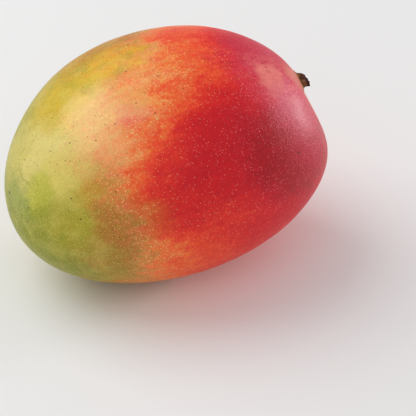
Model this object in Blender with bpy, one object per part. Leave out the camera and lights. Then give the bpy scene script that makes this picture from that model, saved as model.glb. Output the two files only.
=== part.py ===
"""A whole ripe mango lying on its side, with the short woody stub of its stalk.

Metres, +Z up. The origin is on the surface that the fruit rests on, under the middle of its
bounding box. +X runs along the fruit towards the stalk end.
"""

import math
from typing import NamedTuple

import bmesh
import bpy
import numpy as np
from mathutils import Euler, Matrix, Vector

# The fruit's driving sizes.
LENGTH = 0.123
WIDTH = 0.096
THICKNESS = 0.0885
WIDER_AT_STALK = 0.013  # share by which the width grows from the middle to the stalk end
THICKER_AT_STALK = 0.037
BOW_SIDEWAYS = -0.0045  # how far both ends are bowed out of the middle line
BOW_UPWARDS = -0.0028
MEAN_RADIUS = 0.050  # turns an angle seen from the fruit's centre into a distance along its skin

# How the fruit lies.
LEAN = math.radians(5.3)  # the stalk end is higher
ROLL = math.radians(8.0)
PRESSED_FLAT = 0.0007  # depth of the small flat spot under the fruit

# The stalk's stub, and the shallow pit that it sits in.
STALK_BEARING = math.radians(4.1)
STALK_RISE = math.radians(22.2)
STUB_FOOT_RADIUS = 0.0036
STUB_NECK_RADIUS = 0.0028
STUB_LIP_RADIUS = 0.0026
STUB_ROOT_DEPTH = 0.0013
STUB_NECK_HEIGHT = 0.0010
STUB_LIP_HEIGHT = 0.0022
STUB_END_HEIGHT = 0.0029
STUB_DROOP = 0.0014  # how far the broken end hangs below the stub's own axis
CLEARANCE = 0.0003

# How finely the surfaces are divided.
FRUIT_SEGMENTS = 64
FRUIT_RINGS = 42
RING_CROWDING = 1.2  # above 1 the rings lie closer together round the stalk
STUB_SEGMENTS = 28


class Hill(NamedTuple):
    """A smooth rise or hollow of the skin, seen from the fruit's centre."""

    height: float
    reach: float
    bearing: float  # degrees round from the stalk end, towards +Y
    rise: float  # degrees above the fruit's middle plane


HILLS = {
    "nape": Hill(0.0017, 0.0262, 10.4, 47.3),
    "stalk_hollow": Hill(-0.0038, 0.0126, -7.2, 14.7),
    "shoulder": Hill(0.0017, 0.0207, -5.5, -14.3),
    "beak": Hill(0.0010, 0.007, 199.0, 14.0),
    "sinus": Hill(-0.0008, 0.009, 215.0, 20.0),
    "flank": Hill(0.0005, 0.017, 262.0, 12.0),
    "flank_hollow": Hill(-0.0005, 0.015, 292.0, 33.0),
    "back_swell": Hill(0.0003, 0.0155, 128.0, 37.0),
    "back_hollow": Hill(-0.0003, 0.0146, 80.0, 50.0),
}


def toward(bearing, rise):
    """The unit direction with this bearing and rise, in radians, in the fruit's own frame."""
    return np.array(
        [
            math.cos(bearing) * math.cos(rise),
            math.sin(bearing) * math.cos(rise),
            math.sin(rise),
        ]
    )


def hill_heights(directions):
    """How far the hills and hollows move the skin, outwards, in each of these directions."""
    total = np.zeros(len(directions))
    for hill in HILLS.values():
        top = toward(math.radians(hill.bearing), math.radians(hill.rise))
        angle = np.arccos(np.clip(directions @ top, -1, 1))
        total += hill.height * np.exp(-((angle * MEAN_RADIUS / hill.reach) ** 2))
    return total


def skin(directions):
    """Points of the skin, one for each unit direction, in the fruit's own frame."""
    x, y, z = directions.T
    body = np.stack(
        [
            LENGTH / 2 * x,
            WIDTH / 2 * y * (1 + WIDER_AT_STALK * x) + BOW_SIDEWAYS * x**2,
            THICKNESS / 2 * z * (1 + THICKER_AT_STALK * x) + BOW_UPWARDS * x**2,
        ],
        axis=1,
    )
    outward = body / np.linalg.norm(body, axis=1, keepdims=True)
    return body + outward * hill_heights(directions)[:, None]


def stalk_frame():
    """The stalk's place on the fruit: its origin on the skin, +Z out of it and +X up along it."""
    centre = toward(STALK_BEARING, STALK_RISE)
    step = 0.02
    near = [
        centre,
        toward(STALK_BEARING, STALK_RISE + step),
        toward(STALK_BEARING + step, STALK_RISE),
    ]
    place, above, beside = (Vector(p) for p in skin(np.array(near)))
    up = (above - place).normalized()
    out = (beside - place).cross(above - place).normalized()
    side = out.cross(up)
    return Matrix.Translation(place) @ Matrix((up, side, out)).transposed().to_4x4()


def ring_directions(angle):
    """Unit directions all round the stalk, at this angle from it as seen from the centre."""
    pole = toward(STALK_BEARING, STALK_RISE)
    side = np.cross((0, 0, 1), pole)
    side /= np.linalg.norm(side)
    over = np.cross(pole, side)
    turn = np.linspace(0, 2 * math.pi, FRUIT_SEGMENTS, endpoint=False)[:, None]
    across = np.cos(turn) * side + np.sin(turn) * over
    return math.cos(angle) * pole + math.sin(angle) * across


def pit_ring(stalk, depth):
    """A circle of the pit's wall, this deep under the skin at the stalk."""
    radius = STUB_FOOT_RADIUS + CLEARANCE
    turns = np.linspace(0, 2 * math.pi, FRUIT_SEGMENTS, endpoint=False)
    # It starts where the skin's rings do: at the level direction, which is -Y in the stalk's frame.
    return [
        stalk @ Vector((radius * math.sin(t), -radius * math.cos(t), -depth))
        for t in turns
    ]


def bridge(mesh, ring_a, ring_b):
    """Joins two rings of the same number of vertices by quads that face outwards."""
    for i, a in enumerate(ring_a):
        j = (i + 1) % len(ring_a)
        mesh.faces.new((a, ring_b[i], ring_b[j], ring_a[j]))


def fan(mesh, ring, tip, tip_first):
    """Closes a ring with triangles to one vertex."""
    for i, a in enumerate(ring):
        b = ring[(i + 1) % len(ring)]
        mesh.faces.new((tip, a, b) if tip_first else (tip, b, a))


def fruit_mesh(stalk, floor_point, floor_normal):
    """The fruit as rings round the stalk, with the stub's pit and the flat spot that it lies on."""
    mesh = bmesh.new()
    pit_depth = STUB_ROOT_DEPTH + CLEARANCE
    pit_floor = [mesh.verts.new(p) for p in pit_ring(stalk, pit_depth)]
    middle = mesh.verts.new(stalk @ Vector((0, 0, -pit_depth)))
    fan(mesh, pit_floor, middle, tip_first=True)

    rim_angle = (STUB_FOOT_RADIUS + 2 * CLEARANCE) / MEAN_RADIUS
    inner = pit_floor
    for i in range(FRUIT_RINGS):
        share = (i / FRUIT_RINGS) ** RING_CROWDING
        angle = rim_angle + (math.pi - rim_angle) * share
        ring = [mesh.verts.new(p) for p in skin(ring_directions(angle))]
        bridge(mesh, inner, ring)
        inner = ring
    apex = skin(-toward(STALK_BEARING, STALK_RISE)[None, :])[0]
    fan(mesh, inner, mesh.verts.new(apex), tip_first=False)

    everything = list(mesh.verts) + list(mesh.edges) + list(mesh.faces)
    bmesh.ops.bisect_plane(
        mesh, geom=everything, plane_co=floor_point, plane_no=floor_normal, clear_outer=True
    )
    cut = [edge for edge in mesh.edges if edge.is_boundary]
    bmesh.ops.contextual_create(mesh, geom=cut)
    bmesh.ops.recalc_face_normals(mesh, faces=mesh.faces)
    return mesh


def stub_radius(height, turn):
    """The stub's radius at this height, with the ridges of its bark."""
    heights = (0.0, STUB_NECK_HEIGHT, STUB_LIP_HEIGHT)
    radii = (STUB_FOOT_RADIUS, STUB_NECK_RADIUS, STUB_LIP_RADIUS)
    smooth = float(np.interp(height, heights, radii))
    bark = 0.05 * math.cos(5 * turn + 0.7) + 0.035 * math.cos(9 * turn + 2.1)
    grown_out = min(max(height / STUB_NECK_HEIGHT, 0.0), 1.0)
    return smooth * (1 + bark * grown_out)


def stub_point(height, inset, turn):
    """A point of the stub's surface, with the axis drooping and the broken end uneven."""
    risen = max(height, 0.0) / STUB_END_HEIGHT
    radius = stub_radius(height, turn) - inset
    ragged = 0.0003 * math.cos(turn + 2.6) + 0.00016 * math.cos(3 * turn + 1.0)
    return Vector(
        (
            radius * math.cos(turn) - STUB_DROOP * risen**3,
            radius * math.sin(turn),
            height + ragged * risen**3,
        )
    )


def stub_mesh():
    """The stalk's stub as rings up its axis, from the root in the pit to the broken end."""
    levels = [
        (-STUB_ROOT_DEPTH, 0.0),
        (0.0, 0.0),
        (0.3 * STUB_NECK_HEIGHT, 0.0002),
        (0.65 * STUB_NECK_HEIGHT, 0.0001),
        (STUB_NECK_HEIGHT, 0.0),
        (0.5 * (STUB_NECK_HEIGHT + STUB_LIP_HEIGHT), 0.0),
        (STUB_LIP_HEIGHT, 0.0),
        (0.5 * (STUB_LIP_HEIGHT + STUB_END_HEIGHT), 0.0001),
        (STUB_END_HEIGHT, 0.0006),
        (STUB_END_HEIGHT - 0.0003, 0.0013),
    ]
    turns = [2 * math.pi * i / STUB_SEGMENTS for i in range(STUB_SEGMENTS)]
    mesh = bmesh.new()
    rings = [
        [mesh.verts.new(stub_point(height, inset, turn)) for turn in turns]
        for height, inset in levels
    ]
    fan(mesh, rings[0], mesh.verts.new((0, 0, -STUB_ROOT_DEPTH)), tip_first=True)
    for lower, upper in zip(rings, rings[1:]):
        bridge(mesh, lower, upper)
    pith = mesh.verts.new((-STUB_DROOP, 0, STUB_END_HEIGHT - 0.0005))
    fan(mesh, rings[-1], pith, tip_first=False)
    bmesh.ops.recalc_face_normals(mesh, faces=mesh.faces)
    return mesh


def material(name, colour, roughness):
    """A plain non-metallic finish."""
    made = bpy.data.materials.new(name)
    made.use_nodes = True
    shader = made.node_tree.nodes["Principled BSDF"]
    shader.inputs["Base Color"].default_value = (*colour, 1)
    shader.inputs["Roughness"].default_value = roughness
    shader.inputs["Metallic"].default_value = 0.0
    return made


def sub_part(name, mesh, finish, parent):
    """A named object made from this mesh."""
    data = bpy.data.meshes.new(name)
    mesh.to_mesh(data)
    mesh.free()
    data.materials.append(finish)
    data.shade_smooth()
    data.set_sharp_from_angle(angle=math.radians(35))
    made = bpy.data.objects.new(name, data)
    made.parent = parent
    bpy.context.scene.collection.objects.link(made)
    return made


def lying_pose(stalk):
    """How the fruit lies: leaning and rolled, pressed a little into z = 0, and over the origin."""
    turned = Euler((ROLL, -LEAN, 0)).to_matrix()
    angles = np.linspace(0, math.pi, 181)
    body = np.concatenate([skin(ring_directions(angle)) for angle in angles])
    lip = [
        stalk @ stub_point(STUB_LIP_HEIGHT, 0, 2 * math.pi * i / STUB_SEGMENTS)
        for i in range(STUB_SEGMENTS)
    ]
    points = np.concatenate([body, np.array(lip)]) @ np.array(turned).T
    low, high = points.min(axis=0), points.max(axis=0)
    place = (
        -(low[0] + high[0]) / 2,
        -(low[1] + high[1]) / 2,
        -(low[2] + PRESSED_FLAT),
    )
    return Matrix.Translation(place) @ turned.to_4x4()


def main():
    for old in list(bpy.data.objects):
        bpy.data.objects.remove(old)

    stalk = stalk_frame()
    pose = lying_pose(stalk)
    holder = bpy.data.objects.new("mango_pose", None)
    holder.matrix_world = pose
    bpy.context.scene.collection.objects.link(holder)

    floor_point = pose.inverted() @ Vector((0, 0, 0))
    floor_normal = pose.to_3x3().inverted() @ Vector((0, 0, -1))
    skin_finish = material("mango_skin", (0.62, 0.20, 0.05), 0.38)
    bark_finish = material("stalk_bark", (0.10, 0.05, 0.02), 0.8)
    sub_part("fruit", fruit_mesh(stalk, floor_point, floor_normal), skin_finish, holder)
    stub = sub_part("stem_stub", stub_mesh(), bark_finish, holder)
    stub.matrix_local = stalk


main()
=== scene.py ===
"""A whole ripe mango with its stalk's stub, on a pale floor in soft light.

Metres, +Z up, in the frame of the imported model. The fruit's own frame has its origin at the
fruit's centre and +X towards the stalk end; a place on the skin is given there by its bearing,
in degrees round from the stalk end towards +Y, and its rise above the middle plane.
"""

from __future__ import annotations

import logging
import math
from collections.abc import Iterable, Sequence
from dataclasses import dataclass, field
from enum import Enum
from typing import NamedTuple, TypeAlias

import bmesh
import bpy
import numpy as np
from mathutils import Euler, Matrix, Vector, noise

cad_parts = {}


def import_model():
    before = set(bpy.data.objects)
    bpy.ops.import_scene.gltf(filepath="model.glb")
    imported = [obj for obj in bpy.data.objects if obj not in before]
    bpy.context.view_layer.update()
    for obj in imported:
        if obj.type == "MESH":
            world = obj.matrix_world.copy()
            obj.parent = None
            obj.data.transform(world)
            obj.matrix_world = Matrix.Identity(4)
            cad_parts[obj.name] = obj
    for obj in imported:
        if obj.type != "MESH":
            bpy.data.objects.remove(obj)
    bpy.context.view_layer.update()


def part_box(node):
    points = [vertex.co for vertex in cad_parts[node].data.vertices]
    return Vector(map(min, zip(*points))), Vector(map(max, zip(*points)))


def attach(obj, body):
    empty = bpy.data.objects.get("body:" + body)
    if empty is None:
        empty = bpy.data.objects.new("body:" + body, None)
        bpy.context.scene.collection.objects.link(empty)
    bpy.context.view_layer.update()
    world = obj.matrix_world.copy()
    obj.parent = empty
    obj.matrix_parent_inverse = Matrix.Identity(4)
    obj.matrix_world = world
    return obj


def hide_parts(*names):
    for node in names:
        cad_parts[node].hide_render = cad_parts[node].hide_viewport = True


LOG = logging.getLogger("mango")
BODY = "root"
NOISE_MEAN = 0.5
NOISE_ROUGHNESS = 0.55
DOT_CORE = 0.45  # the share of a dot's radius within which it is full
STALK_BEARING = 4.1
STALK_RISE = 22.2
STUB_HEIGHT = 0.0029

Triple: TypeAlias = "tuple[float, float, float]"
Term: TypeAlias = "Shade | float"
Colour: TypeAlias = "Shade | Tint"
Place: TypeAlias = "Shade | Vector | Sequence[float]"
Key: TypeAlias = "int | str"


# Colours and places


class Tint(NamedTuple):
    """A colour as it is seen on a screen, each part from 0 to 255."""

    red: float
    green: float
    blue: float

    def light(self) -> tuple[float, float, float, float]:
        """The same colour in proportion to its light, by the sRGB curve, as shaders use it.

        Returns:
            Red, green, blue and full cover, each from 0 to 1.
        """
        parts = [part / 255 for part in self]
        linear = [p / 12.92 if p <= 0.04045 else ((p + 0.055) / 1.055) ** 2.4 for p in parts]
        return (*linear, 1.0)


def toward(bearing: float, rise: float) -> Vector:
    """The unit direction with this bearing and rise.

    Args:
        bearing: Degrees round from the stalk end, towards +Y.
        rise: Degrees above the fruit's middle plane.

    Returns:
        The direction, in the fruit's own frame.
    """
    b, r = math.radians(bearing), math.radians(rise)
    return Vector((math.cos(b) * math.cos(r), math.sin(b) * math.cos(r), math.sin(r)))


# Shader building


class Grain(NamedTuple):
    """Soft noise."""

    size: float  # of its features, in metres
    detail: float  # how many finer layers it has
    share: float = 1.0  # how strongly it acts
    scaled: Triple | None = None  # below 1, it is drawn out along that axis


class Patches(NamedTuple):
    """Soft-edged patches where a noise is high."""

    grain: Grain
    low: float  # the noise at their outer edge
    high: float  # the noise where they are full
    tint: Tint | None = None


class Dots(NamedTuple):
    """Small round dots, where the skin cuts balls that are spread through space."""

    spacing: float  # the mean distance between the balls' centres, in metres
    radius: float
    share: float = 1.0
    tint: Tint | None = None


class Shade:
    """One output of a shader node, used in sums, products and comparisons."""

    def __init__(self, graph: Graph, socket: bpy.types.NodeSocket) -> None:
        """Wraps the socket of a node in this graph."""
        self.graph = graph
        self.socket = socket

    def _math(self, operation: str, *terms: Term) -> Shade:
        """Adds a Math node over these terms."""
        return self.graph.node("ShaderNodeMath", {"operation": operation}, dict(enumerate(terms)))

    def __add__(self, other: Term) -> Shade:
        """The sum."""
        return self._math("ADD", self, other)

    __radd__ = __add__

    def __sub__(self, other: Term) -> Shade:
        """The difference."""
        return self._math("SUBTRACT", self, other)

    def __rsub__(self, other: Term) -> Shade:
        """The difference, from a plain number."""
        return self._math("SUBTRACT", other, self)

    def __mul__(self, other: Term) -> Shade:
        """The product."""
        return self._math("MULTIPLY", self, other)

    __rmul__ = __mul__

    def smooth(self, low: float, high: float) -> Shade:
        """A smooth step.

        Args:
            low: The value that gives 0.
            high: The value that gives 1, which may be the smaller one.

        Returns:
            The step's value.
        """
        ends = (low, high, 0.0, 1.0) if low < high else (high, low, 1.0, 0.0)
        return self.graph.node(
            "ShaderNodeMapRange",
            {"interpolation_type": "SMOOTHSTEP"},
            {0: self, **{i + 1: end for i, end in enumerate(ends)}},
        )

    def toward(self, target: float, share: Shade) -> Shade:
        """The value moved towards a target by this share of the way."""
        return self + (target - self) * share


class Graph:
    """The nodes of one material, with its principled shader."""

    def __init__(self, name: str) -> None:
        """Makes a new material.

        Args:
            name: The material's name.
        """
        self.material = bpy.data.materials.new(name)
        self.material.use_nodes = True
        self.tree = self.material.node_tree
        self.surface = self.tree.nodes["Principled BSDF"]

    def put(self, socket: bpy.types.NodeSocket, value: object) -> None:
        """Fills a socket.

        Args:
            socket: The input to fill.
            value: A shade to link into it, or else its plain value.
        """
        if isinstance(value, Shade):
            self.tree.links.new(value.socket, socket)
        else:
            socket.default_value = value

    def dress(self, values: dict[str, object]) -> None:
        """Fills the shader's own sockets, by name."""
        for name, value in values.items():
            self.put(self.surface.inputs[name], value)

    def node(
        self, kind: str, settings: dict[str, object], sockets: dict[Key, object], output: Key = 0
    ) -> Shade:
        """Adds any node.

        Args:
            kind: The node's type.
            settings: What is set on the node itself, before its sockets; "stops" fills a ramp.
            sockets: Values or shades for its inputs, by name or number.
            output: The name or number of the output that is wanted.

        Returns:
            That output.
        """
        made = self.tree.nodes.new(kind)
        for name, setting in settings.items():
            if name == "stops":
                self._fill_ramp(made.color_ramp, setting)
            else:
                setattr(made, name, setting)
        for key, value in sockets.items():
            self.put(made.inputs[key], value)
        return Shade(self, made.outputs[output])

    @staticmethod
    def _fill_ramp(ramp: bpy.types.ColorRamp, stops: dict[float, Tint]) -> None:
        """Gives a ramp its colours.

        Args:
            ramp: The ramp, with one or two stops of its own.
            stops: The tint at each place along it.
        """
        while len(ramp.elements) < len(stops):
            ramp.elements.new(1.0)
        for element, (place, tint) in zip(ramp.elements, stops.items()):
            element.position = place
            element.color = tint.light()

    def vector(self, operation: str, first: Place, second: Place | float, output: Key = 0) -> Shade:
        """Adds a Vector Math node.

        Args:
            operation: What it does.
            first: The first vector.
            second: The second vector, or the number to scale by.
            output: The output that is wanted, "Value" where it is a number.

        Returns:
            That output.
        """
        key = "Scale" if operation == "SCALE" else 1
        return self.node(
            "ShaderNodeVectorMath", {"operation": operation}, {0: first, key: second}, output
        )

    def unit(self, vector: Shade) -> Shade:
        """The direction of a vector."""
        return self.vector("NORMALIZE", vector, (0, 0, 0))

    def part(self, vector: Shade, axis: int) -> Shade:
        """One coordinate of a vector."""
        return self.node("ShaderNodeSeparateXYZ", {}, {0: vector}, axis)

    def mixed(self, share: Term, first: Colour, second: Colour, blend: str = "MIX") -> Shade:
        """Mixes two colours.

        Args:
            share: The share of the second.
            first: The colour below.
            second: The colour above.
            blend: How the second acts on the first.

        Returns:
            The mixture.
        """
        first, second = (c.light() if isinstance(c, Tint) else c for c in (first, second))
        settings = {"data_type": "RGBA", "blend_type": blend}
        # A Mix node takes its colours at inputs 6 and 7, and gives its colour at output 2.
        return self.node("ShaderNodeMix", settings, {0: share, 6: first, 7: second}, 2)

    def own_place(self, pose: Matrix) -> Shade:
        """Where a point lies in a piece's own frame.

        Args:
            pose: What has put the piece in the world.

        Returns:
            The place in metres.
        """
        place, turn, _ = pose.decompose()
        world = self.node("ShaderNodeTexCoord", {}, {}, "Object")
        return self.node(
            "ShaderNodeMapping",
            {"vector_type": "TEXTURE"},
            {"Vector": world, "Location": place, "Rotation": turn.to_euler()},
        )

    def grain(self, place: Shade, grain: Grain, colour: bool = False) -> Shade:
        """Soft noise, about 0.5 on average and not yet weighed by its share.

        Args:
            place: Where the noise is read.
            grain: What it is like.
            colour: Whether three separate noises are wanted, as a colour.

        Returns:
            The noise.
        """
        if grain.scaled:
            place = self.vector("MULTIPLY", place, grain.scaled)
        sockets = {
            "Vector": place,
            "Scale": 1 / grain.size,
            "Detail": grain.detail,
            "Roughness": NOISE_ROUGHNESS,
        }
        return self.node("ShaderNodeTexNoise", {}, sockets, 1 if colour else 0)

    def weighed(self, place: Shade, grains: Iterable[Grain], middle: float = 0.0) -> Shade:
        """The sum of several noises, each less this middle value and times its share."""
        return sum((self.grain(place, grain) - middle) * grain.share for grain in grains)

    def patches(self, place: Shade, patches: Patches) -> Shade:
        """How much of the patches lies at a place, up to their noise's share."""
        grain = patches.grain
        return self.grain(place, grain).smooth(patches.low, patches.high) * grain.share

    def dots(self, place: Shade, dots: Dots) -> Shade:
        """How much of a dot lies at a place.

        Args:
            place: Where the dots are read.
            dots: What they are like.

        Returns:
            Their share in the middle of a dot, and 0 between the dots.
        """
        reach = dots.radius / dots.spacing
        sockets = {"Vector": place, "Scale": 1 / dots.spacing}
        gap = self.node("ShaderNodeTexVoronoi", {}, sockets)
        return gap.smooth(reach, DOT_CORE * reach) * dots.share

    def raised(self, height: Shade, strength: float, distance: float) -> Shade:
        """The normal of a surface with this fine relief."""
        sockets = {"Strength": strength, "Distance": distance, "Height": height}
        return self.node("ShaderNodeBump", {}, sockets)


# The fruit's form


class Hill(NamedTuple):
    """A smooth rise or hollow of the skin, seen from the fruit's centre."""

    height: float
    reach: float
    bearing: float
    rise: float


@dataclass(frozen=True)
class FruitForm:
    """The fruit's sizes, which are those of its solid, and the skin that they give."""

    length: float = 0.123
    width: float = 0.096
    thickness: float = 0.0885
    wider_at_stalk: float = 0.013
    thicker_at_stalk: float = 0.037
    bow_sideways: float = -0.0045
    bow_upwards: float = -0.0028
    mean_radius: float = 0.050
    lean: float = math.radians(5.3)
    roll: float = math.radians(8.0)
    pressed_flat: float = 0.0007
    stalk_bearing: float = STALK_BEARING
    stalk_rise: float = STALK_RISE
    hills: tuple[Hill, ...] = (
        Hill(0.0017, 0.0262, 10.4, 47.3),
        Hill(-0.0038, 0.0126, -7.2, 14.7),
        Hill(0.0017, 0.0207, -5.5, -14.3),
        Hill(0.0010, 0.007, 199.0, 14.0),
        Hill(-0.0008, 0.009, 215.0, 20.0),
        Hill(0.0005, 0.017, 262.0, 12.0),
        Hill(-0.0005, 0.015, 292.0, 33.0),
        Hill(0.0003, 0.0155, 128.0, 37.0),
        Hill(-0.0003, 0.0146, 80.0, 50.0),
    )
    turns_measured: int = 361  # how finely the form's own box is found
    tilts_measured: int = 181

    def stalk(self) -> Vector:
        """The direction of the stalk from the fruit's centre."""
        return toward(self.stalk_bearing, self.stalk_rise)

    def skin(self, directions: np.ndarray) -> np.ndarray:
        """Points of the smooth skin.

        Args:
            directions: Unit directions from the fruit's centre, one a row.

        Returns:
            The skin's point in each direction, in the fruit's own frame.
        """
        x, y, z = directions.T
        wide = self.width / 2 * (1 + self.wider_at_stalk * x)
        thick = self.thickness / 2 * (1 + self.thicker_at_stalk * x)
        body = np.stack(
            [
                self.length / 2 * x,
                wide * y + self.bow_sideways * x**2,
                thick * z + self.bow_upwards * x**2,
            ],
            axis=1,
        )
        raised = np.zeros(len(directions))
        for hill in self.hills:
            top = np.array(toward(hill.bearing, hill.rise))
            away = np.arccos(np.clip(directions @ top, -1, 1)) * self.mean_radius
            raised += hill.height * np.exp(-((away / hill.reach) ** 2))
        outward = body / np.linalg.norm(body, axis=1, keepdims=True)
        return body + outward * raised[:, None]

    def stalk_frame(self) -> Matrix:
        """The stalk's place on the fruit.

        Returns:
            Its frame: the origin on the skin, +Z out of it and +X up along it.
        """
        step = 1.0
        near = [
            self.stalk(),
            toward(self.stalk_bearing, self.stalk_rise + step),
            toward(self.stalk_bearing + step, self.stalk_rise),
        ]
        place, above, beside = (Vector(p) for p in self.skin(np.array(near)))
        up = (above - place).normalized()
        out = (beside - place).cross(above - place).normalized()
        return Matrix.Translation(place) @ Matrix((up, out.cross(up), out)).transposed().to_4x4()

    def pose(self) -> Matrix:
        """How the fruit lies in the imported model, found from the box of its solid.

        Returns:
            The pose of the fruit's own frame in the world.
        """
        turned = Euler((self.roll, -self.lean, 0)).to_matrix()
        low, high = (Vector(corner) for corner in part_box("fruit"))
        turns = np.linspace(0, 2 * math.pi, self.turns_measured)
        tilts = np.linspace(-math.pi / 2, math.pi / 2, self.tilts_measured)
        b, r = (grid.ravel() for grid in np.meshgrid(turns, tilts))
        all_round = np.stack([np.cos(b) * np.cos(r), np.sin(b) * np.cos(r), np.sin(r)], axis=1)
        points = self.skin(all_round) @ np.array(turned).T
        middle = (points.min(axis=0) + points.max(axis=0)) / 2
        place = (
            (low.x + high.x) / 2 - middle[0],
            (low.y + high.y) / 2 - middle[1],
            low.z - points[:, 2].min() - self.pressed_flat,
        )
        return Matrix.Translation(place) @ turned.to_4x4()


# The fruit's skin


class Area(NamedTuple):
    """A round soft-edged area of the skin."""

    bearing: float
    rise: float
    reach: float  # degrees from its middle to the middle of its edge
    edge: float  # degrees over which it fades out
    share: float = 1.0


class Daub(NamedTuple):
    """An area of the skin where the tint or the level of red changes."""

    bearing: float
    rise: float
    reach: float
    edge: float
    target: Tint | float  # the tint or the level there
    share: float = 1.0


@dataclass(frozen=True)
class SkinFinish:
    """Waxy skin: a green to yellow ground under a red blush, with pale and dark dots."""

    form: FruitForm
    name: str = "mango_skin"
    wandering: tuple[Grain, ...] = (
        Grain(0.026, 2, 0.13),
        Grain(0.0075, 2, 0.2, (0.45, 1.0, 1.0)),
        Grain(0.0021, 2, 0.05),
    )

    plain_ground: Tint = Tint(186, 168, 56)
    ground: tuple[Daub, ...] = (
        Daub(190, 5, 38, 36, Tint(160, 162, 50)),
        # The darker olive and brown daubs at or below the middle plane are partly the fruit's own
        # colour and partly painted shade of its lower side.
        Daub(192, -4, 14, 20, Tint(150, 152, 20), 0.8),
        Daub(184, 16, 7, 14, Tint(158, 166, 82), 0.8),
        # partly painted shade of the lower side
        Daub(215, -10, 12, 18, Tint(140, 145, 36), 0.8),
        Daub(186, 42, 14, 26, Tint(226, 208, 122)),
        Daub(208, 34, 9, 18, Tint(224, 204, 102), 0.9),
        Daub(166, 24, 8, 16, Tint(208, 192, 98), 0.8),
        Daub(197, 25, 5, 12, Tint(186, 184, 60), 0.8),
        Daub(222, 12, 12, 20, Tint(178, 163, 44), 0.8),
        # partly painted shade of the lower side
        Daub(238, -4, 12, 20, Tint(174, 138, 46), 0.9),
        Daub(229, 30, 6, 12, Tint(206, 160, 52), 0.8),
        Daub(150, 58, 16, 22, Tint(212, 178, 28)),
        Daub(104, 52, 16, 24, Tint(200, 142, 22), 0.9),
        Daub(126, 74, 9, 18, Tint(236, 188, 44)),
        Daub(192, 62, 9, 16, Tint(250, 208, 114)),
        Daub(214, 60, 11, 18, Tint(254, 206, 136), 0.9),
        Daub(240, 56, 16, 22, Tint(255, 200, 124), 0.9),
        Daub(270, 82, 12, 20, Tint(255, 196, 84), 0.9),
    )
    cloudy: Patches = Patches(Grain(0.0075, 4, 0.3), 0.4, 0.7, Tint(226, 208, 106))
    leafy: Patches = Patches(Grain(0.0052, 3, 0.32), 0.48, 0.7, Tint(140, 148, 44))
    never_leafy: Area = Area(206, 46, 26, 18, 0.9)

    blush_slope: Triple = (0.5, -0.27, 0.05)
    blush_middle: float = 0.38
    blush: tuple[Daub, ...] = (
        Daub(205, 18, 16, 26, -0.1, 0.8),
        Daub(160, 50, 14, 30, -0.02, 0.7),
        Daub(198, 56, 10, 18, 0.04, 0.6),
        Daub(290, 40, 14, 36, 0.88, 0.85),
        Daub(266, 42, 8, 26, 0.8, 0.6),
        Daub(314, 22, 16, 30, 1.04, 0.8),
        Daub(8, 50, 8, 40, 0.95, 0.8),
        Daub(262, 82, 7, 14, 0.34, 0.7),
        Daub(130, 75, 7, 12, 0.1, 0.6),
        Daub(226, -2, 14, 22, 0.06, 0.8),
        Daub(263, 22, 13, 18, 0.82, 0.75),
        Daub(350, 76, 8, 18, 0.56, 0.6),
        Daub(58, 66, 9, 12, 0.64, 0.6),
        Daub(266, 77, 4, 8, 0.6, 0.55),
        Daub(216, 69, 6, 10, 0.16, 0.6),
        Daub(232, 28, 5, 10, 0.22, 0.3),
        Daub(234, 17, 7, 9, 0.14, 0.5),
        Daub(244, 55, 3, 9, 0.4, 0.4),
        Daub(242, 41, 3, 10, 0.62, 0.4),
    )
    unrest: tuple[Grain, ...] = (
        Grain(0.0032, 3, 0.26, (0.3, 1.0, 1.0)),
        Grain(0.011, 4, 0.2),
        Grain(0.0022, 3, 0.24),
        Grain(0.0010, 2, 0.2),
    )
    restless_levels: tuple[float, float] = (0.95, 0.5)  # calm at the first, restless at the second
    calm_unrest: float = 0.35  # the share of the unrest that is left where it is calm
    tinged_levels: tuple[float, float] = (0.0, 0.36)
    covered_levels: tuple[float, float] = (0.2, 0.52)
    blush_tint: Tint = Tint(255, 200, 214)
    blush_ramp: dict[float, Tint] = field(
        default_factory=lambda: {
            0.3: Tint(255, 158, 78),
            0.42: Tint(255, 128, 56),
            0.52: Tint(250, 98, 40),
            0.6: Tint(246, 72, 38),
            0.7: Tint(234, 42, 30),
            0.8: Tint(220, 22, 32),
            0.92: Tint(198, 8, 31),
            1.0: Tint(172, 4, 22),
        }
    )
    # Rosy tints on the stalk's shoulder, partly the skin's own colour and partly painted sheen,
    # with a painted highlight and a partly painted shade low down.
    tints_sheen_and_shade: tuple[Daub, ...] = (
        Daub(350, 42, 18, 28, Tint(212, 50, 82), 0.75),
        Daub(325, 20, 10, 22, Tint(206, 26, 66), 0.5),
        # a painted highlight on the stalk's shoulder
        Daub(329, 36, 8, 18, Tint(230, 96, 116), 0.3),
        # salmon by the stalk, partly the skin's colour and partly painted highlight
        Daub(341, 50, 2, 13, Tint(255, 158, 138), 0.5),
        Daub(333, 39, 4, 12, Tint(220, 108, 132), 0.3),
        Daub(355, 35, 4, 7, Tint(222, 140, 98), 0.55),
        Daub(233, 64, 3, 9, Tint(244, 130, 122), 0.35),
        # darker brown low down, partly the skin's colour and partly painted shade of the lower side
        Daub(240, 17, 8, 18, Tint(184, 92, 32), 0.5),
    )

    crimson: Patches = Patches(
        Grain(0.0021, 2, 0.6, (0.16, 1.0, 1.0)), 0.52, 0.66, Tint(196, 14, 40)
    )
    crimson_area: Area = Area(352, 60, 10, 16)
    # salmon streaks by the stalk, partly the skin's colour and partly painted highlight
    salmon: Patches = Patches(Grain(0.0026, 3, 0.45), 0.3, 0.74, Tint(250, 140, 126))
    salmon_area: Area = Area(342, 48, 6, 22)
    salmon_runs_to: tuple[float, float] = (335, 54)
    salmon_drawn_out: float = 0.85
    glints: Dots = Dots(0.00092, 0.00026, 1.0, Tint(250, 130, 150))
    glint_area: Area = Area(340, 38, 22, 24, 0.6)

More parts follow.
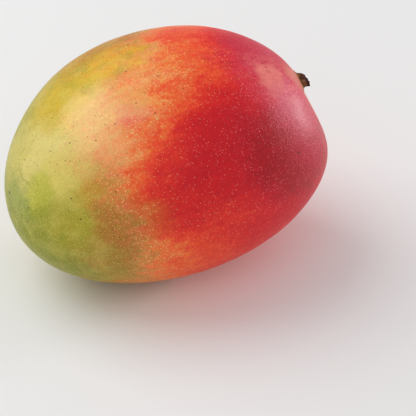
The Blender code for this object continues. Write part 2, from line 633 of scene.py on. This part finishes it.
    red_levels: tuple[float, float] = (0.2, 0.6)
    deep_red_levels: tuple[float, float] = (0.68, 0.9)
    upper_side: tuple[float, float] = (-0.01, 0.02)  # metres above the middle plane
    veil: Patches = Patches(
        Grain(0.0046, 3, 0.7, (0.45, 1.0, 1.0)), 0.42, 0.76, Tint(252, 196, 120)
    )
    flush: Patches = Patches(Grain(0.0066, 3, 0.4), 0.42, 0.7, Tint(242, 108, 84))
    flush_below: float = 0.4  # its share on the lower side
    fine_dots: Dots = Dots(0.00078, 0.00023, 0.75, Tint(228, 220, 112))
    rosy_dots: Dots = Dots(0.0014, 0.0005, 0.35, Tint(240, 84, 72))
    pale_dots: Dots = Dots(0.001, 0.00028, 0.8, Tint(255, 150, 108))
    pale_dots_where: Patches = Patches(Grain(0.0024, 1), 0.3, 0.6)
    deep_dot: Tint = Tint(244, 112, 122)
    peach_dots: Dots = Dots(0.00092, 0.00029, 0.95, Tint(255, 202, 130))
    specks: Dots = Dots(0.0013, 0.00024, 1.0, Tint(88, 70, 26))
    specks_where: Patches = Patches(Grain(0.009, 2), 0.42, 0.58)
    spots: Dots = Dots(0.0043, 0.0004, 1.0, Tint(52, 38, 16))
    spots_on_green: float = 0.95
    spots_lost_on_red: float = 0.5
    shading: tuple[Grain, ...] = (Grain(0.0007, 1, 0.32), Grain(0.0031, 3, 0.16))
    darkest: float = 0.76

    collar: tuple[Daub, Daub] = (
        Daub(STALK_BEARING, STALK_RISE, 10.0, 19.0, Tint(218, 104, 94), 0.6),
        Daub(STALK_BEARING, STALK_RISE, 6.6, 4.0, Tint(220, 142, 98), 0.75),
    )
    collar_wander: float = 0.4  # how much the collar's inner ring wanders, against the true place
    # a darker line painted as the shade of a faint crease, which the mesh does not have
    crease: Daub = Daub(184, 26, 6, 6, Tint(124, 128, 46), 0.32)
    crease_ends: tuple[tuple[float, float], ...] = ((177, 27), (191, 25))
    crease_spread: float = 0.0003  # the square of half its width, seen from the centre
    marks: tuple[Daub, ...] = (
        Daub(176, 11, 0.7, 0.8, Tint(70, 54, 22), 0.85),
        Daub(313, 20, 0.5, 0.5, Tint(60, 10, 16), 0.8),
    )

    pores: Dots = Dots(0.0012, 0.0003, 0.35)
    rough: Grain = Grain(0.0008, 3)
    bump_strength: float = 0.6
    bump_height: float = 0.00033
    roughness: float = 0.38
    dull_patches: Grain = Grain(0.006, 3, 0.14)
    specular: float = 0.27
    wax: float = 0.04
    wax_roughness: float = 0.22

    def mask(self, graph: Graph, direction: Shade, area: Area | Daub) -> Shade:
        """How much of an area lies in each direction.

        Args:
            graph: The skin's graph.
            direction: The direction from the fruit's centre.
            area: The area, or the daub.

        Returns:
            Its share in its middle, and 0 outside it.
        """
        middle = toward(area.bearing, area.rise)
        near = graph.vector("DOT_PRODUCT", direction, middle, "Value")
        outer = math.cos(math.radians(area.reach + area.edge / 2))
        inner = math.cos(math.radians(max(area.reach - area.edge / 2, 0)))
        return near.smooth(outer, inner) * area.share

    def daubed(
        self, graph: Graph, direction: Shade, colour: Colour, daubs: Iterable[Daub]
    ) -> Colour:
        """Lays daubs of other tints over a colour, one after another.

        Args:
            graph: The skin's graph.
            direction: The direction from the fruit's centre.
            colour: The colour below them.
            daubs: What is laid on.

        Returns:
            The colour with the daubs.
        """
        for daub in daubs:
            colour = graph.mixed(self.mask(graph, direction, daub), colour, daub.target)
        return colour

    def build(self, pose: Matrix) -> bpy.types.Material:
        """Makes the skin's material.

        Args:
            pose: How the fruit lies in the world.

        Returns:
            The material.
        """
        graph = Graph(self.name)
        place = graph.own_place(pose)
        direction = self._direction(graph, place)
        wavy = self._wandering(graph, place, direction)
        level = self._blush_level(graph, place, wavy)
        colour = self._ground(graph, place, wavy)
        colour = self._blushed(graph, wavy, colour, level)
        colour = self._streaked(graph, place, wavy, colour)
        glints = graph.dots(place, self.glints) * self.mask(graph, wavy, self.glint_area)
        colour = graph.mixed(glints, colour, self.glints.tint)
        colour = self._dotted(graph, place, colour, level)
        colour = self._marked(graph, direction, wavy, colour)
        height = graph.dots(place, self.pores) + graph.grain(place, self.rough)
        graph.dress(
            {
                "Base Color": colour,
                "Normal": graph.raised(height, self.bump_strength, self.bump_height),
                "Roughness": graph.weighed(place, [self.dull_patches]) + self.roughness,
                "Specular IOR Level": self.specular,
                "Coat Weight": self.wax,
                "Coat Roughness": self.wax_roughness,
            }
        )
        return graph.material

    def _direction(self, graph: Graph, place: Shade) -> Shade:
        """The direction that the form's skin has at a place, its bow taken out.

        Args:
            graph: The skin's graph.
            place: The place in the fruit's own frame.

        Returns:
            The direction from the fruit's centre.
        """
        form = self.form
        halves = [2 / size for size in (form.length, form.width, form.thickness)]
        x = graph.part(place, 0) * halves[0]
        bow = (0.0, -form.bow_sideways * halves[1], -form.bow_upwards * halves[2])
        unbowed = graph.vector("SCALE", bow, x * x)
        return graph.unit(graph.vector("ADD", graph.vector("MULTIPLY", place, halves), unbowed))

    def _wandering(self, graph: Graph, place: Shade, direction: Shade) -> Shade:
        """Moves the direction about so that no colour's edge runs smoothly.

        Args:
            graph: The skin's graph.
            place: The place in the fruit's own frame.
            direction: The true direction from the fruit's centre.

        Returns:
            The wandering direction.
        """
        for grain in self.wandering:
            drift = graph.grain(place, grain, colour=True)
            shift = graph.vector("SUBTRACT", drift, [NOISE_MEAN] * 3)
            direction = graph.vector("ADD", direction, graph.vector("SCALE", shift, grain.share))
        return graph.unit(direction)

    def _ground(self, graph: Graph, place: Shade, wavy: Shade) -> Shade:
        """The green and yellow under the blush, with darker daubs low down that are partly painted
        shade.

        Args:
            graph: The skin's graph.
            place: The place in the fruit's own frame.
            wavy: The wandering direction.

        Returns:
            The colour.
        """
        colour = self.daubed(graph, wavy, self.plain_ground, self.ground)
        colour = graph.mixed(graph.patches(place, self.cloudy), colour, self.cloudy.tint)
        allowed = 1 - self.mask(graph, wavy, self.never_leafy)
        return graph.mixed(graph.patches(place, self.leafy) * allowed, colour, self.leafy.tint)

    def _blush_level(self, graph: Graph, place: Shade, wavy: Shade) -> Shade:
        """How red the skin is.

        Args:
            graph: The skin's graph.
            place: The place in the fruit's own frame.
            wavy: The wandering direction.

        Returns:
            The level, from below 0 for none to 1 for the deepest red.
        """
        level = graph.vector("DOT_PRODUCT", wavy, self.blush_slope, "Value") + self.blush_middle
        for daub in self.blush:
            level = level.toward(daub.target, self.mask(graph, wavy, daub))
        restless = level.smooth(*self.restless_levels) * (1 - self.calm_unrest) + self.calm_unrest
        return level + graph.weighed(place, self.unrest, NOISE_MEAN) * restless

    def _blushed(self, graph: Graph, wavy: Shade, ground: Shade, level: Shade) -> Shade:
        """Lays the blush over the ground, and over both the rosy tints, partly painted sheen and
        highlight, with a partly painted shade low down.

        Args:
            graph: The skin's graph.
            wavy: The wandering direction.
            ground: The colour below.
            level: How red the skin is.

        Returns:
            The colour.
        """
        blush = graph.node("ShaderNodeValToRGB", {"stops": self.blush_ramp}, {0: level})
        tinged = level.smooth(*self.tinged_levels)
        colour = graph.mixed(tinged, ground, self.blush_tint, "MULTIPLY")
        colour = graph.mixed(level.smooth(*self.covered_levels), colour, blush)
        return self.daubed(graph, wavy, colour, self.tints_sheen_and_shade)

    def _streaked(self, graph: Graph, place: Shade, wavy: Shade, colour: Shade) -> Shade:
        """Draws crimson streaks along the fruit, and salmon ones that run out from the stalk,
        partly the skin's colour and partly painted highlight.

        Args:
            graph: The skin's graph.
            place: The place in the fruit's own frame.
            wavy: The wandering direction.
            colour: The colour below.

        Returns:
            The colour with the streaks.
        """
        way = (toward(*self.salmon_runs_to) - self.form.stalk()).normalized()
        length = graph.vector("DOT_PRODUCT", place, way, "Value")
        back = graph.vector("SCALE", way, length * -self.salmon_drawn_out)
        drawn_out = graph.vector("ADD", place, back)
        for read_at, streaks, area in (
            (place, self.crimson, self.crimson_area),
            # the salmon streaks are partly painted highlight
            (drawn_out, self.salmon, self.salmon_area),
        ):
            drawn = graph.patches(read_at, streaks) * self.mask(graph, wavy, area)
            colour = graph.mixed(drawn, colour, streaks.tint)
        return colour

    def _dotted(self, graph: Graph, place: Shade, colour: Shade, level: Shade) -> Shade:
        """Adds the mottling where red meets green, and the dots, specks and spots.

        Args:
            graph: The skin's graph.
            place: The place in the fruit's own frame.
            colour: The colour below.
            level: How red the skin is.

        Returns:
            The colour with the dots.
        """
        red = level.smooth(*self.red_levels)
        green = 1 - red
        between = red * green * 4  # 1 where red and green are even
        upper = graph.part(place, 2).smooth(*self.upper_side)
        lit = upper * (1 - self.flush_below) + self.flush_below
        deep = level.smooth(*self.deep_red_levels)
        pale = graph.dots(place, self.pale_dots) * graph.patches(place, self.pale_dots_where)
        specks = graph.dots(place, self.specks) * graph.patches(place, self.specks_where)
        spotted = self.spots_on_green - red * self.spots_lost_on_red
        layers = (
            (graph.patches(place, self.veil) * between * green * upper, self.veil.tint),
            (graph.patches(place, self.flush) * between * lit, self.flush.tint),
            (graph.dots(place, self.fine_dots) * green, self.fine_dots.tint),
            (graph.dots(place, self.rosy_dots) * between, self.rosy_dots.tint),
            (pale * red, graph.mixed(deep, self.pale_dots.tint, self.deep_dot)),
            (graph.dots(place, self.peach_dots) * between, self.peach_dots.tint),
            (specks * green, self.specks.tint),
            (graph.dots(place, self.spots) * spotted, self.spots.tint),
        )
        for share, tint in layers:
            colour = graph.mixed(share, colour, tint)
        return graph.vector("SCALE", colour, graph.weighed(place, self.shading) + self.darkest)

    def _marked(self, graph: Graph, direction: Shade, wavy: Shade, colour: Shade) -> Shade:
        """Draws the collar round the stub, a darker line painted as the shade of the far end's
        faint crease, its scar and a nick.

        Args:
            graph: The skin's graph.
            direction: The true direction from the fruit's centre.
            wavy: The wandering direction.
            colour: The colour below.

        Returns:
            The colour with the marks.
        """
        wander = graph.vector("SCALE", wavy, self.collar_wander)
        settled = graph.unit(graph.vector("ADD", direction, wander))
        for ring, way in zip(self.collar, (wavy, settled)):
            colour = self.daubed(graph, way, colour, [ring])
        # the crease's painted shade, as a darker line
        start, end = (toward(*place) for place in self.crease_ends)
        off = graph.vector("DOT_PRODUCT", wavy, start.cross(end).normalized(), "Value")
        line = (off * off).smooth(self.crease_spread, 0.0)
        line = line * self.mask(graph, direction, self.crease)
        colour = graph.mixed(line, colour, self.crease.target)
        return self.daubed(graph, direction, colour, self.marks)


@dataclass
class Fruit:
    """The fruit, as a fine skin over its solid."""

    form: FruitForm
    segments: int = 240
    rings: int = 200
    crowding: float = 1.35  # above 1, the rings crowd towards the stalk
    collar_height: float = 0.0001
    collar_radius: float = 0.0052
    collar_width: float = 0.0011
    press_softness: float = 0.00015
    ripple: float = 0.00022
    ripples: tuple[tuple[float, float], ...] = ((48.0, 0.8), (130.0, 0.35))  # fineness, share
    ripple_shift: Triple = (7.0, 3.0, 1.0)

    def directions(self, angle: float) -> np.ndarray:
        """Unit directions all round the stalk.

        Args:
            angle: Their angle from the stalk.

        Returns:
            The directions, one a row.
        """
        pole = self.form.stalk()
        side = Vector((0, 0, 1)).cross(pole).normalized()
        over = pole.cross(side)
        turns = np.linspace(0, 2 * math.pi, self.segments, endpoint=False)[:, None]
        across = np.cos(turns) * np.array(side) + np.sin(turns) * np.array(over)
        return math.cos(angle) * np.array(pole) + math.sin(angle) * across

    def points(self) -> np.ndarray:
        """The skin's points in the fruit's own frame.

        Returns:
            The points, ring after ring from the stalk, with the two poles last.
        """
        shares = (np.arange(1, self.rings + 1) / (self.rings + 1)) ** self.crowding
        pole = np.array([self.form.stalk()])
        all_round = np.concatenate([*(self.directions(math.pi * s) for s in shares), pole, -pole])
        points = self.form.skin(all_round)
        away = np.linalg.norm(points - np.array(self.form.stalk_frame().translation), axis=1)
        off_rim = (away - self.collar_radius) / self.collar_width
        collar = self.collar_height * np.exp(-(off_rim**2))
        ripples = np.array([self._ripple(Vector(p)) for p in points])
        outward = points / np.linalg.norm(points, axis=1, keepdims=True)
        return points + outward * (collar + ripples)[:, None]

    def _ripple(self, point: Vector) -> float:
        """The skin's slight unevenness.

        Args:
            point: A point of the smooth skin.

        Returns:
            How far the skin is raised there.
        """
        shift = Vector(self.ripple_shift)
        raised = 0.0
        for i, (fineness, share) in enumerate(self.ripples):
            raised += share * noise.noise(point * fineness + shift * i)
        return self.ripple * raised

    def laid(self, points: np.ndarray, pose: Matrix) -> np.ndarray:
        """Puts the skin in the world, its underside pressed softly flat on the floor.

        Args:
            points: Points in the fruit's own frame, one a row.
            pose: How the fruit lies in the world.

        Returns:
            The points in the world.
        """
        world = points @ np.array(pose.to_3x3()).T + np.array(pose.translation)
        soft = self.press_softness
        world[:, 2] = soft * np.logaddexp(0, world[:, 2] / soft)
        return world

    def faces(self) -> list[tuple[int, ...]]:
        """The faces between the skin's points.

        Returns:
            Each face's points by number: quads between the rings, triangles at the two poles.
        """
        count = self.segments
        near_pole, far_pole = self.rings * count, self.rings * count + 1
        last = (self.rings - 1) * count
        neighbours = [(i, (i + 1) % count) for i in range(count)]
        faces: list[tuple[int, ...]] = [
            (start + i, start + count + i, start + count + j, start + j)
            for start in range(0, last, count)
            for i, j in neighbours
        ]
        for i, j in neighbours:
            faces.append((near_pole, i, j))
            faces.append((far_pole, last + j, last + i))
        return faces

    def build(self) -> bpy.types.Object:
        """Makes the dressed fruit in place of its solid.

        Returns:
            The fruit.
        """
        pose = self.form.pose()
        mesh = bpy.data.meshes.new("mango_fruit")
        mesh.from_pydata(self.laid(self.points(), pose).tolist(), [], self.faces())
        mesh.shade_smooth()
        mesh.materials.append(SkinFinish(self.form).build(pose))
        fruit = bpy.data.objects.new("mango_fruit", mesh)
        bpy.context.scene.collection.objects.link(fruit)
        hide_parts("fruit")
        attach(fruit, BODY)
        return fruit


# The stalk's stub


class Band(NamedTuple):
    """A tint that comes in along the stub's height."""

    none: float  # the height above the skin where there is none of it
    full: float  # the height where it has its whole share
    share: float
    tint: Tint


@dataclass(frozen=True)
class BarkFinish:
    """Dry brown bark, scuffed tan on its ridges, with a dark broken end."""

    name: str = "stalk_bark"
    fibre: Grain = Grain(0.0006, 4, 1.0, (1.0, 1.0, 0.3))
    fibre_step: tuple[float, float] = (0.35, 0.65)
    furrow: Tint = Tint(58, 22, 8)
    ridge: Tint = Tint(104, 62, 36)
    blotch: Grain = Grain(0.0016, 3, 0.8)
    blotch_step: tuple[float, float] = (0.5, 0.64)
    scuffed: Tint = Tint(146, 98, 68)
    uneven: float = 0.001  # how far the bands' edges wander up and down
    bands: tuple[Band, ...] = (
        Band(STUB_HEIGHT * 0.62, STUB_HEIGHT * 0.9, 1.0, Tint(58, 14, 16)),
        Band(0.001, 0.0003, 0.6, Tint(128, 72, 42)),
        Band(0.00035, 0.0001, 1.0, Tint(206, 144, 104)),
    )
    blotch_relief: float = 0.6
    bump_strength: float = 0.7
    bump_height: float = 0.0003
    roughness: float = 0.85
    specular: float = 0.15

    def build(self, pose: Matrix) -> bpy.types.Material:
        """Makes the bark's material.

        Args:
            pose: How the stub stands in the world.

        Returns:
            The material.
        """
        graph = Graph(self.name)
        place = graph.own_place(pose)
        fibre = graph.grain(place, self.fibre)
        blotch = graph.grain(place, self.blotch)
        colour = graph.mixed(fibre.smooth(*self.fibre_step), self.furrow, self.ridge)
        scuffs = blotch.smooth(*self.blotch_step) * self.blotch.share
        colour = graph.mixed(scuffs, colour, self.scuffed)
        height = graph.part(place, 2) + (blotch - NOISE_MEAN) * self.uneven
        for band in self.bands:
            reached = height.smooth(band.none, band.full) * band.share
            colour = graph.mixed(reached, colour, band.tint)
        relief = fibre + blotch * self.blotch_relief
        graph.dress(
            {
                "Base Color": colour,
                "Normal": graph.raised(relief, self.bump_strength, self.bump_height),
                "Roughness": self.roughness,
                "Specular IOR Level": self.specular,
            }
        )
        return graph.material


class Wave(NamedTuple):
    """A wave round the stub."""

    count: int  # how often it rises in one turn
    height: float
    phase: float

    def at(self, turn: float) -> float:
        """Its height at an angle round the stub."""
        return self.height * math.cos(self.count * turn + self.phase)


@dataclass
class StemStub:
    """The short broken stub of the stalk, seated in the skin."""

    form: FruitForm
    foot_radius: float = 0.0036
    neck_radius: float = 0.0028
    lip_radius: float = 0.0026
    end_narrowing: float = 0.86
    root_depth: float = 0.0013
    neck_height: float = 0.0010
    lip_height: float = 0.0022
    end_height: float = STUB_HEIGHT
    droop: float = 0.0018
    flare: float = 0.0009  # how far the foot spreads over the skin
    flare_height: float = 0.0005
    ridges: tuple[Wave, ...] = (Wave(5, 0.05, 0.7), Wave(9, 0.035, 2.1))
    bark: tuple[tuple[float, float], ...] = ((3.1, 0.07), (7.7, 0.045))  # fineness, share
    bark_per_metre: float = 260.0
    ragged: tuple[Wave, ...] = (Wave(1, 0.0003, 2.6), Wave(3, 0.00016, 1.0))
    splinters: float = 0.00028
    splinter_fineness: float = 5.0
    sunk_end: float = 0.00055
    segments: int = 96
    rings: int = 44
    end_rings: int = 14
    end_shares: tuple[float, float] = (0.97, 0.08)  # of the radius, from the rim to the middle

    def radius(self, height: float) -> float:
        """The stub's mean radius.

        Args:
            height: The height above the skin.

        Returns:
            The radius there, with the flare of the foot.
        """
        heights = (0.0, self.neck_height, self.lip_height, self.end_height)
        end_radius = self.lip_radius * self.end_narrowing
        radii = (self.foot_radius, self.neck_radius, self.lip_radius, end_radius)
        spread = min(max(1 - height / self.flare_height, 0.0), 1.0)
        return float(np.interp(height, heights, radii)) + self.flare * spread**2

    def surface_point(self, height: float, share: float, turn: float) -> Vector:
        """A point of the bark, or of the broken end where share is under 1.

        Args:
            height: The height above the skin.
            share: The share of the radius.
            turn: The angle round the stub.

        Returns:
            The point, in the stalk's frame.
        """
        risen = max(height, 0.0) / self.end_height
        grown = min(max(height / self.neck_height, 0.0), 1.0)
        across, beside = math.cos(turn), math.sin(turn)
        around = Vector((across, beside, height * self.bark_per_metre))
        rough = sum(noise.noise(around * fineness) * part for fineness, part in self.bark)
        rough += sum(wave.at(turn) for wave in self.ridges)
        reach = self.radius(height) * (1 + rough * grown) * share
        ragged = sum(wave.at(turn) for wave in self.ragged)
        splinter = noise.noise(Vector((across, beside, share)) * self.splinter_fineness)
        torn = ragged * share + splinter * self.splinters
        sunk = self.sunk_end * (1 - share**4) * (share < 1.0)
        lean = self.droop * risen**3
        return Vector((reach * across - lean, reach * beside, height + torn * risen**3 - sunk))

    def build(self) -> bpy.types.Object:
        """Makes the dressed stub in place of its solid.

        Returns:
            The stub.
        """
        turns = [2 * math.pi * i / self.segments for i in range(self.segments)]
        heights = np.linspace(-self.root_depth, self.end_height, self.rings)
        shares = np.linspace(*self.end_shares, self.end_rings)
        levels = [(float(h), 1.0) for h in heights]
        levels += [(self.end_height, float(s)) for s in shares]
        mesh = bmesh.new()
        rings = [
            [mesh.verts.new(self.surface_point(height, share, turn)) for turn in turns]
            for height, share in levels
        ]
        for lower, upper in zip(rings, rings[1:]):
            for i in range(self.segments):
                j = (i + 1) % self.segments
                mesh.faces.new((lower[i], lower[j], upper[j], upper[i]))
        mesh.faces.new(rings[-1])
        mesh.faces.new(rings[0][::-1])
        pose = self.form.pose() @ self.form.stalk_frame()
        data = bpy.data.meshes.new("mango_stem_stub")
        mesh.transform(pose)
        mesh.to_mesh(data)
        mesh.free()
        data.shade_smooth()
        data.materials.append(BarkFinish().build(pose))
        stub = bpy.data.objects.new("mango_stem_stub", data)
        bpy.context.scene.collection.objects.link(stub)
        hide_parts("stem_stub")
        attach(stub, BODY)
        return stub


# Floor, light and camera


def sight(azimuth: float, elevation: float) -> Vector:
    """The unit direction from the fruit to a viewer.

    Args:
        azimuth: Degrees round the vertical; 0 looks along +Y, with +X to the right.
        elevation: Degrees above the horizon.

    Returns:
        The direction.
    """
    a, e = math.radians(azimuth), math.radians(elevation)
    return Vector((math.sin(a) * math.cos(e), -math.cos(a) * math.cos(e), math.sin(e)))


class Side(Enum):
    """From where a soft light shines: its azimuth and its elevation."""

    OVERHEAD = (-134.0, 52.0)
    RIGHT = (94.0, 5.0)
    FRONT = (-25.0, 40.0)


@dataclass(frozen=True)
class SoftLight:
    """A square lamp that faces the fruit."""

    side: Side
    power: float
    size: float
    distance: float = 1.0

    def build(self, target: Vector) -> None:
        """Hangs the lamp.

        Args:
            target: What it faces.
        """
        lamp = bpy.data.lights.new(self.side.name.lower(), "AREA")
        lamp.energy = self.power
        lamp.size = self.size
        hung = bpy.data.objects.new(lamp.name, lamp)
        back = sight(*self.side.value)
        hung.location = target + back * self.distance
        hung.rotation_euler = back.to_track_quat("Z", "Y").to_euler()
        bpy.context.scene.collection.objects.link(hung)


@dataclass(frozen=True)
class Viewpoint:
    """The photograph's camera, aimed beside the fruit's centre as the photograph is framed."""

    azimuth: float = -21.9
    elevation: float = 34.0
    distance: float = 0.85
    lens: float = 198.0
    nearest: float = 0.05
    aim_right: float = 0.01686
    aim_down: float = 0.02062

    def build(self, centre: Vector) -> None:
        """Sets up the camera.

        Args:
            centre: The fruit's centre.
        """
        back = sight(self.azimuth, self.elevation)
        right = Vector((0, 0, 1)).cross(back).normalized()
        up = back.cross(right)
        eye = centre + back * self.distance
        aim = centre + right * self.aim_right - up * self.aim_down
        data = bpy.data.cameras.new("viewpoint")
        data.lens = self.lens
        data.clip_start = self.nearest
        camera = bpy.data.objects.new("viewpoint", data)
        camera.location = eye
        camera.rotation_euler = (eye - aim).to_track_quat("Z", "Y").to_euler()
        bpy.context.scene.collection.objects.link(camera)
        bpy.context.scene.camera = camera


@dataclass(frozen=True)
class Studio:
    """The pale floor and the soft light round it."""

    floor_size: float = 6.0
    floor_tone: float = 0.9
    floor_roughness: float = 0.9
    sky: float = 0.47
    lights: tuple[SoftLight, ...] = (
        SoftLight(Side.OVERHEAD, 5.4, 0.9),
        SoftLight(Side.RIGHT, 4.1, 0.2),
        SoftLight(Side.FRONT, 1.3, 0.9),
    )

    def lay_floor(self) -> None:
        """Lays the floor."""
        half = self.floor_size / 2
        corners = [(-half, -half, 0), (half, -half, 0), (half, half, 0), (-half, half, 0)]
        mesh = bpy.data.meshes.new("floor")
        mesh.from_pydata(corners, [], [(0, 1, 2, 3)])
        graph = Graph("floor_paper")
        tone = self.floor_tone
        graph.dress({"Base Color": (tone, tone, tone, 1), "Roughness": self.floor_roughness})
        mesh.materials.append(graph.material)
        floor = bpy.data.objects.new("floor", mesh)
        bpy.context.scene.collection.objects.link(floor)

    def build(self, target: Vector) -> None:
        """Lays the floor and lights the scene.

        Args:
            target: What the lamps face.
        """
        self.lay_floor()
        world = bpy.data.worlds.new("studio")
        world.use_nodes = True
        sky = world.node_tree.nodes["Background"]
        sky.inputs["Color"].default_value = (1, 1, 1, 1)
        sky.inputs["Strength"].default_value = self.sky
        bpy.context.scene.world = world
        bpy.context.scene.view_settings.view_transform = "Standard"
        for light in self.lights:
            light.build(target)


def main() -> None:
    """Builds the mango on its frame, with the floor, the light and the camera."""
    logging.basicConfig(level=logging.INFO, format="%(name)s: %(message)s")
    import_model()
    form = FruitForm()
    centre = form.pose().translation
    Viewpoint().build(centre)
    Studio().build(centre)
    for part in (Fruit(form), StemStub(form)):
        piece = part.build()
        LOG.info("%s: %d faces", piece.name, len(piece.data.polygons))


if __name__ == "__main__":
    main()
